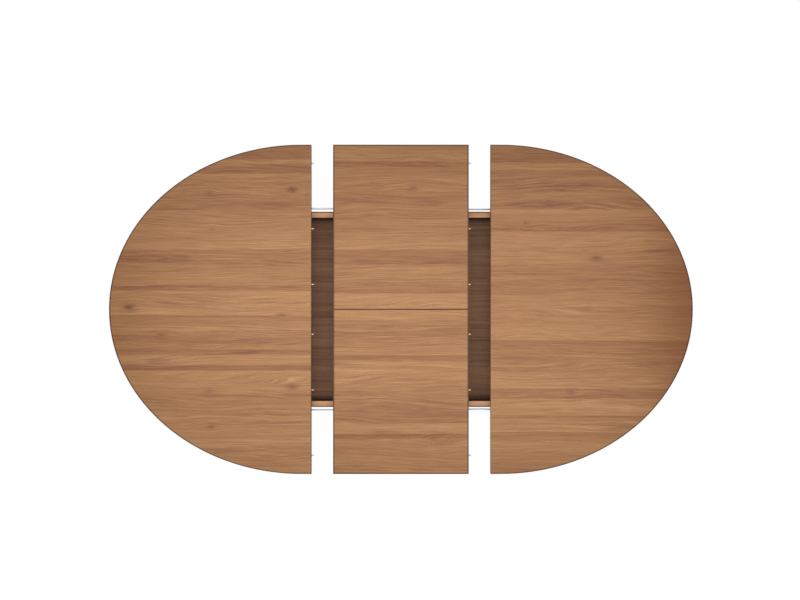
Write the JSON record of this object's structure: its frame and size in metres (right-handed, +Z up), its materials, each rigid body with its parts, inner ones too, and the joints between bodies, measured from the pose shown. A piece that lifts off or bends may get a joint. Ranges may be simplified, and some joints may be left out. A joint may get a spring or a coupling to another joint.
{
  "type": "butterfly leaf table",
  "caption": "Extending dining table: rounded half tops slide apart on steel runners and a folding centre leaf swings up out of a tray on parallel arms.",
  "frame": {"origin": "on the floor, under the centre of the table", "axes": "+X along the table, the way its right half slides out; +Y across it, towards the leaf panel that the arms carry; +Z up"},
  "size_m": [2.1272, 1.2, 0.75],
  "materials": {
    "walnut_veneer": "matte lacquered walnut veneer in strips of uneven width",
    "light_walnut": "matte lacquered solid wood",
    "dark_walnut": "matte dark walnut board",
    "zinc_steel": "bright zinc plated",
    "black_steel": "satin black powder coat",
    "brass": "turned brass",
    "nylon": "natural nylon",
    "rubber": "black rubber"
  },
  "bodies": {
    "base_frame": {"front_side_rail": "light_walnut", "rear_side_rail": "light_walnut", "left_end_rail": "light_walnut", "right_end_rail": "light_walnut", "tray_floor": "dark_walnut", "front_left_leg": "light_walnut", "front_right_leg": "light_walnut", "rear_left_leg": "light_walnut", "rear_right_leg": "light_walnut", "front_left_glide": "nylon", "front_right_glide": "nylon", "rear_left_glide": "nylon", "rear_right_glide": "nylon", "corner_braces": "zinc_steel", "brace_bolts": "zinc_steel", "front_runner_guides": "nylon", "rear_runner_guides": "nylon", "rack_guides": "nylon", "arm_brackets": "black_steel", "frame_screws": "zinc_steel", "leaf_rest_pads": "nylon", "half_glide_pads": "nylon", "storage_buffers": "rubber", "pinion_axle": "zinc_steel"},
    "left_half": {"left_half_top": "walnut_veneer", "left_half_pegs": "brass", "left_front_cleat": "light_walnut", "left_rear_cleat": "light_walnut", "left_front_runner": "zinc_steel", "left_rear_runner": "zinc_steel", "left_rack": "zinc_steel", "left_rack_bracket": "zinc_steel", "left_half_screws": "zinc_steel"},
    "right_half": {"right_half_top": "walnut_veneer", "right_front_cleat": "light_walnut", "right_rear_cleat": "light_walnut", "right_front_runner": "zinc_steel", "right_rear_runner": "zinc_steel", "right_rack": "zinc_steel", "right_rack_bracket": "zinc_steel", "right_half_screws": "zinc_steel"},
    "pinion": {"equaliser_pinion": "zinc_steel"},
    "front_arms": {"front_left_arm": "black_steel", "front_right_arm": "black_steel", "front_arm_shaft": "zinc_steel", "front_arm_pins": "zinc_steel"},
    "rear_arms": {"rear_left_arm": "black_steel", "rear_right_arm": "black_steel", "rear_arm_shaft": "zinc_steel", "rear_arm_pins": "zinc_steel"},
    "leaf_rear": {"leaf_rear_panel": "walnut_veneer", "leaf_rear_pegs": "brass", "leaf_lugs": "black_steel", "lug_screws": "zinc_steel", "leaf_hinge_rear": "brass"},
    "leaf_front": {"leaf_front_panel": "walnut_veneer", "leaf_front_pegs": "brass", "leaf_hinge_front": "brass"},
    "leaf_links": {"leaf_hinge_links": "zinc_steel"}
  },
  "joints": [
    {"name": "left_half_slide", "type": "slide", "parent": "base_frame", "child": "left_half", "axis": [1, 0, 0], "range_m": [0, 0.0794]},
    {"name": "right_half_slide", "type": "slide", "parent": "base_frame", "child": "right_half", "axis": [-1, 0, 0], "range_m": [0, 0.0794]},
    {"name": "pinion_turn", "type": "hinge", "parent": "base_frame", "child": "pinion", "pos_m": [0, 0, 0.618], "axis": [0, 0, 1], "range_deg": [0, 163.5]},
    {"name": "leaf_swing", "type": "hinge", "parent": "base_frame", "child": "front_arms", "pos_m": [0, -0.09, 0.657], "axis": [1, 0, 0], "range_deg": [0, 158.6]},
    {"name": "rear_arm_swing", "type": "hinge", "parent": "base_frame", "child": "rear_arms", "pos_m": [0, 0.15, 0.657], "axis": [1, 0, 0], "range_deg": [0, 158.6]},
    {"name": "leaf_level", "type": "hinge", "parent": "front_arms", "child": "leaf_rear", "pos_m": [0, 0.05453, 0.713], "axis": [-1, 0, 0], "range_deg": [0, 158.6]},
    {"name": "leaf_fold", "type": "hinge", "parent": "leaf_rear", "child": "leaf_front", "pos_m": [0, 0, 0.75025], "axis": [-1, 0, 0], "range_deg": [0, 180]},
    {"name": "hinge_link_turn", "type": "hinge", "parent": "leaf_rear", "child": "leaf_links", "pos_m": [0, 0, 0.75025], "axis": [-1, 0, 0], "range_deg": [0, 90]}
  ],
  "couplings": [
    {"joint": "right_half_slide", "follows": "left_half_slide", "ratio": 1},
    {"joint": "pinion_turn", "follows": "left_half_slide", "rad_per_m": 35.714},
    {"joint": "rear_arm_swing", "follows": "leaf_swing", "ratio": 1},
    {"joint": "leaf_level", "follows": "leaf_swing", "ratio": 1},
    {"joint": "leaf_fold", "follows": "leaf_swing", "ratio": 1.1349},
    {"joint": "hinge_link_turn", "follows": "leaf_swing", "ratio": 0.56746}
  ]
}
